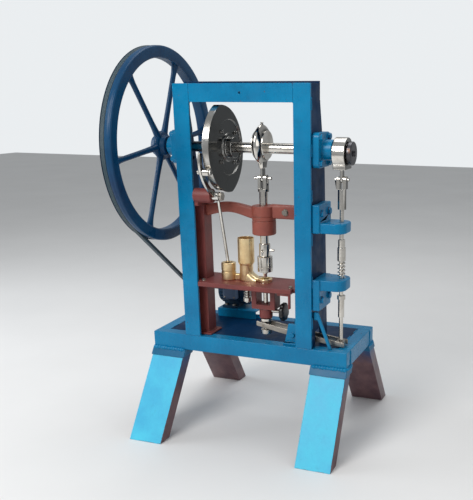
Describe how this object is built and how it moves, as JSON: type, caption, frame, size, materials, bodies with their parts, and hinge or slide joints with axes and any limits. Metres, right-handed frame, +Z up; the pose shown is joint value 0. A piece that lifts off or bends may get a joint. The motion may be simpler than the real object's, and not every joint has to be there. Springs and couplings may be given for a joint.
{
  "type": "single-punch tablet press",
  "caption": "Belt-driven single-punch tablet press: flywheel crankshaft, ram, cam-driven feed shoe with hopper and ejector rod in a window frame on a splayed stand.",
  "frame": {"origin": "middle of the overall width and depth, at floor level", "axes": "+Z up, -Y towards the operator, the crankshaft runs along X with the flywheel at -X"},
  "size_m": [0.649, 0.6586, 1.145],
  "materials": {
    "frame_paint": "glossy blue paint",
    "red_primer": "satin red-oxide primer",
    "motor_paint": "satin blue-grey paint",
    "ground_steel": "ground and oiled",
    "dark_steel": "blackened",
    "brass": "turned and polished",
    "black_plastic": "glossy black",
    "belt_rubber": "matt black"
  },
  "bodies": {
    "frame": {"base_front_rail": "frame_paint", "base_rear_rail": "frame_paint", "base_end_rails": "frame_paint", "deck_plate": "frame_paint", "leg_front_left": "frame_paint", "leg_front_right": "frame_paint", "leg_rear_left": "frame_paint", "leg_rear_right": "frame_paint", "left_stile": "frame_paint", "right_stile": "frame_paint", "top_rail": "frame_paint", "top_cover": "frame_paint", "left_side_plate": "frame_paint", "right_side_plate": "frame_paint", "left_bearing": "frame_paint", "right_bearing": "frame_paint", "frame_bolts": "frame_paint", "left_column": "red_primer", "lever_pivot_pin": "ground_steel", "ram_guide": "red_primer", "press_bolts": "ground_steel", "die_table": "red_primer", "die": "ground_steel", "lower_bridge": "red_primer", "lift_lever_bracket": "frame_paint", "upper_rod_bracket": "frame_paint", "lower_rod_bracket": "frame_paint", "motor_plate": "frame_paint", "motor_body": "motor_paint", "motor_fan_cover": "motor_paint", "motor_terminal_box": "motor_paint", "drive_belt": "belt_rubber"},
    "crankshaft": {"main_shaft": "ground_steel", "flywheel": "frame_paint", "cam_disc": "ground_steel", "ram_eccentric": "ground_steel", "ejector_eccentric": "ground_steel", "end_cap": "dark_steel"},
    "ram_strap": {"ram_strap": "ground_steel"},
    "ejector_strap": {"ejector_strap": "ground_steel"},
    "ram": {"ram_fork": "ground_steel", "ram_rod": "ground_steel", "punch_holder": "ground_steel", "punch_nut": "dark_steel", "upper_punch": "ground_steel"},
    "feed_lever": {"feed_lever": "ground_steel"},
    "cam_roller": {"cam_roller": "ground_steel"},
    "feed_shoe": {"feed_shoe": "brass", "tail_block": "brass", "hopper": "brass", "shoe_stud": "ground_steel"},
    "motor_rotor": {"motor_pulley": "ground_steel"},
    "ejector_rod": {"ejector_fork": "ground_steel", "ejector_rod": "ground_steel", "rod_stop_collar": "ground_steel", "rod_lower_sleeve": "ground_steel", "rod_spring": "ground_steel"},
    "lift_lever": {"lift_lever": "ground_steel"},
    "lower_punch": {"lower_punch": "ground_steel"},
    "lock_knob": {"lock_knob": "black_plastic"}
  },
  "joints": [
    {"name": "shaft_spin", "type": "hinge", "parent": "frame", "child": "crankshaft", "pos_m": [0, -0.04925, 0.865], "axis": [1, 0, 0], "continuous": true},
    {"name": "ram_strap_pivot", "type": "hinge", "parent": "crankshaft", "child": "ram_strap", "pos_m": [0.043, -0.04925, 0.874], "axis": [1, 0, 0], "continuous": true},
    {"name": "ejector_strap_pivot", "type": "hinge", "parent": "crankshaft", "child": "ejector_strap", "pos_m": [0.281, -0.04925, 0.857], "axis": [1, 0, 0], "continuous": true},
    {"name": "ram_slide", "type": "slide", "parent": "frame", "child": "ram", "axis": [0, 0, 1], "range_m": [-0.018, 0]},
    {"name": "feed_lever_swing", "type": "hinge", "parent": "frame", "child": "feed_lever", "pos_m": [-0.084, -0.09925, 0.73], "axis": [1, 0, 0], "range_deg": [0, 7.2]},
    {"name": "roller_spin", "type": "hinge", "parent": "feed_lever", "child": "cam_roller", "pos_m": [-0.07, -0.17497, 0.805], "axis": [1, 0, 0], "continuous": true},
    {"name": "shoe_swing", "type": "hinge", "parent": "frame", "child": "feed_shoe", "pos_m": [-0.018, -0.04925, 0.476], "axis": [0, 0, 1], "range_deg": [-28.01, 0]},
    {"name": "motor_spin", "type": "hinge", "parent": "frame", "child": "motor_rotor", "pos_m": [-0.291, 0.16075, 0.385], "axis": [1, 0, 0], "continuous": true},
    {"name": "ejector_slide", "type": "slide", "parent": "frame", "child": "ejector_rod", "axis": [0, 0, 1], "range_m": [0, 0.016], "deforming": ["rod_spring"]},
    {"name": "lift_lever_swing", "type": "hinge", "parent": "frame", "child": "lift_lever", "pos_m": [0.14, -0.04925, 0.328], "axis": [0, 1, 0], "range_deg": [-6.51, 0]},
    {"name": "lower_punch_slide", "type": "slide", "parent": "frame", "child": "lower_punch", "axis": [0, 0, 1], "range_m": [-0.01102, 0]},
    {"name": "knob_spin", "type": "hinge", "parent": "frame", "child": "lock_knob", "pos_m": [0.094, -0.04925, 0.388], "axis": [1, 0, 0], "continuous": true}
  ],
  "couplings": [
    {"joint": "ram_strap_pivot", "follows": "shaft_spin", "ratio": -1},
    {"joint": "ejector_strap_pivot", "follows": "shaft_spin", "ratio": -1},
    {"joint": "motor_spin", "follows": "shaft_spin", "ratio": 8.8457},
    {"joint": "shoe_swing", "follows": "feed_lever_swing", "ratio": -3.8889},
    {"joint": "lift_lever_swing", "follows": "ejector_slide", "rad_per_m": -7.0922},
    {"joint": "lower_punch_slide", "follows": "ejector_slide", "ratio": -0.68794}
  ]
}
